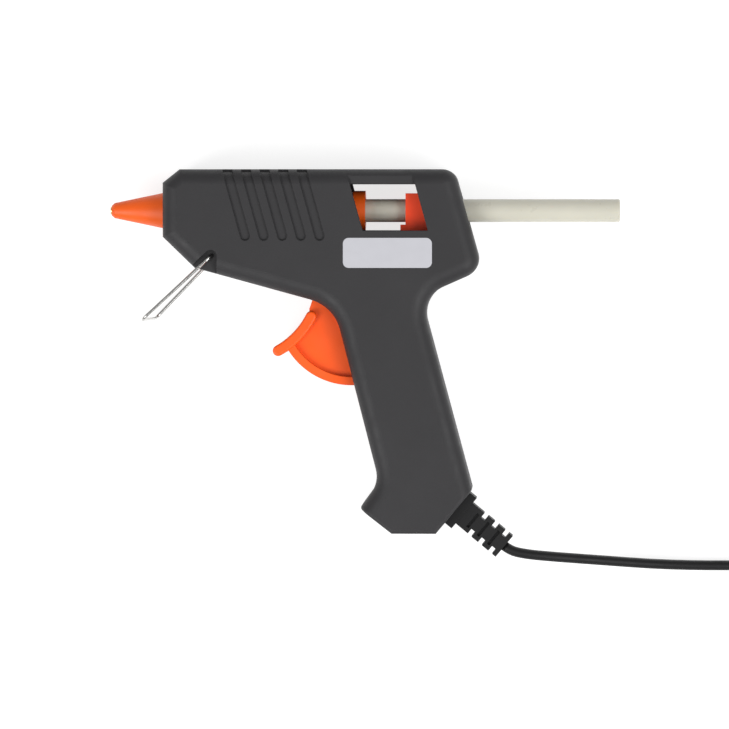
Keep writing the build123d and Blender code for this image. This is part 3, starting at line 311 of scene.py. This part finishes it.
def uneven_gloss(material, shader, rough, spread, scale):
    """Roughness that varies a little to both sides of a value."""
    noise = object_noise(material, Scale=scale, Detail=5.0)
    span = add_node(material, "ShaderNodeMapRange", From_Min=NOISE_LOW, From_Max=NOISE_HIGH)
    span.inputs["To Min"].default_value = rough - spread
    span.inputs["To Max"].default_value = rough + spread
    wire_up(material, noise, span.inputs["Value"])
    wire_up(material, span.outputs["Result"], shader.inputs["Roughness"])


def grain(material, shader, scale, depth, edge, strength=1.0):
    """A fine grain as bump, over edges that are rounded a little. Depth and edge are in millimetres."""
    noise = object_noise(material, Scale=scale, Detail=3.0, Roughness=0.6)
    bump = add_node(material, "ShaderNodeBump", Strength=strength, Distance=depth * MM)
    wire_up(material, noise, bump.inputs["Height"])
    if edge:
        soft = add_node(material, "ShaderNodeBevel", Radius=edge * MM)
        wire_up(material, soft.outputs["Normal"], bump.inputs["Normal"])
    wire_up(material, bump.outputs["Normal"], shader.inputs["Normal"])


def moulded(name, colour, rough, depth, edge, spread=0.06, shine=0.35):
    """A moulded plastic or rubber."""
    material, shader = new_material(name)
    shader.inputs["Specular IOR Level"].default_value = shine
    mottled(material, shader, colour, spread, PLASTIC_MOTTLE)
    uneven_gloss(material, shader, rough, PLASTIC_ROUGH_SPREAD, PLASTIC_GLOSS)
    grain(material, shader, PLASTIC_GRAIN, depth, edge)
    return material


def metal(name, colour, rough, depth, edge, spread=0.05, metallic=1.0):
    """A plain worked metal."""
    material, shader = new_material(name)
    shader.inputs["Metallic"].default_value = metallic
    mottled(material, shader, colour, spread, METAL_MOTTLE)
    uneven_gloss(material, shader, rough, METAL_ROUGH_SPREAD, METAL_GLOSS)
    grain(material, shader, METAL_GRAIN, depth, edge)
    return material


def glue():
    """Translucent hot melt: pale ivory with soft light inside."""
    material, shader = new_material("glue_ivory")
    mottled(material, shader, GLUE_COLOUR, GLUE_COLOUR_SPREAD, PLASTIC_MOTTLE)
    uneven_gloss(material, shader, GLUE_ROUGH, GLUE_ROUGH_SPREAD, GLUE_NOISE)
    grain(material, shader, GLUE_NOISE, GLUE_BUMP_DEPTH, GLUE_EDGE, GLUE_BUMP_STRENGTH)
    shader.inputs["Subsurface Weight"].default_value = GLUE_INSIDE
    shader.inputs["Subsurface Radius"].default_value = GLUE_REACH
    shader.inputs["Subsurface Scale"].default_value = 1.0
    return material


def paint(material, *names):
    """Give CAD nodes a material."""
    for name in names:
        mesh = NODES[name].data
        mesh.materials.clear()
        mesh.materials.append(material)


def paint_nodes():
    """Give every CAD node its material, and return the cord's."""
    shell = moulded("shell_charcoal", (0.024, 0.0232, 0.025), rough=0.55, depth=0.05, edge=0.5)
    orange = moulded("sleeve_orange", (0.88, 0.115, 0.007), rough=0.45, depth=0.02, edge=0.3)
    trigger_orange = moulded("trigger_orange", (0.95, 0.105, 0.009), rough=0.4, depth=0.02, edge=0.4)
    carriage_red = moulded("carriage_red", (0.9, 0.06, 0.012), rough=0.4, depth=0.02, edge=0.3)
    black = moulded("cord_black", (0.008, 0.008, 0.0085), rough=0.5, depth=0.03, edge=0.3, shine=0.25)
    clamp_black = moulded("clamp_black", (0.03, 0.03, 0.03), rough=0.5, depth=0.03, edge=0.2)
    ceramic = moulded("heater_ceramic", (0.22, 0.21, 0.2), rough=0.8, depth=0.05, edge=0.1)
    film = moulded("film_amber", (0.6, 0.3, 0.05), rough=0.25, depth=0.01, edge=0.0)
    blue = moulded("lead_blue", (0.02, 0.08, 0.4), rough=0.4, depth=0.02, edge=0.0)
    brown = moulded("lead_brown", (0.12, 0.05, 0.02), rough=0.4, depth=0.02, edge=0.0)
    braid = moulded("sleeve_braid", (0.75, 0.74, 0.7), rough=0.8, depth=0.1, edge=0.0)
    steel = metal("steel_plated", (0.6, 0.6, 0.61), rough=0.3, depth=0.01, edge=0.1)
    brass = metal("brass_turned", (0.72, 0.55, 0.25), rough=0.28, depth=0.01, edge=0.1)
    alloy = metal("alloy_cast", (0.62, 0.62, 0.63), rough=0.5, depth=0.05, edge=0.3)
    nickel = metal("wire_nickel", (0.55, 0.545, 0.53), rough=0.2, depth=0.005, edge=0.0)
    plate = metal("plate_satin", (0.5, 0.5, 0.535), 0.5, depth=0.002, edge=0.1, spread=0.01, metallic=0.2)
    paint(shell, "left_shell", "right_shell")
    paint(orange, "nozzle_sleeve", "inlet_sleeve")
    paint(trigger_orange, "trigger")
    paint(carriage_red, "feed_carriage")
    paint(black, "strain_relief", "cord_inside", "cord_tie", "plug_body")
    paint(clamp_black, "cord_clamp")
    paint(ceramic, "ptc_heater")
    paint(film, "heater_film")
    paint(blue, "lead_neutral")
    paint(brown, "lead_live")
    paint(braid, "heat_sleeves")
    paint(steel, "shell_screws", "clamp_screws", "grip_pawl", "grip_pin", "trigger_pin", "trigger_spring")
    paint(brass, "nozzle", "crimp_terminals", "plug_blades")
    paint(alloy, "melt_chamber", "lower_electrode", "upper_electrode")
    paint(nickel, "wire_stand")
    paint(plate, "rating_plate")
    paint(glue(), "glue_stick")
    return black


def add_cord(material):
    """The free cord: one smooth line from the relief through the coil to the plug."""
    line = spline_line(CORD_ROUTE + coil_points())
    cord = tube("mains_cord", line, flat_profile(CORD_WIDTH, CORD_THICK))
    cord.data.materials.append(material)
    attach(cord, "housing")
    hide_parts("power_cord", "cord_coil", "cord_tail")


add_camera()
add_light()
add_floor()
add_cord(paint_nodes())
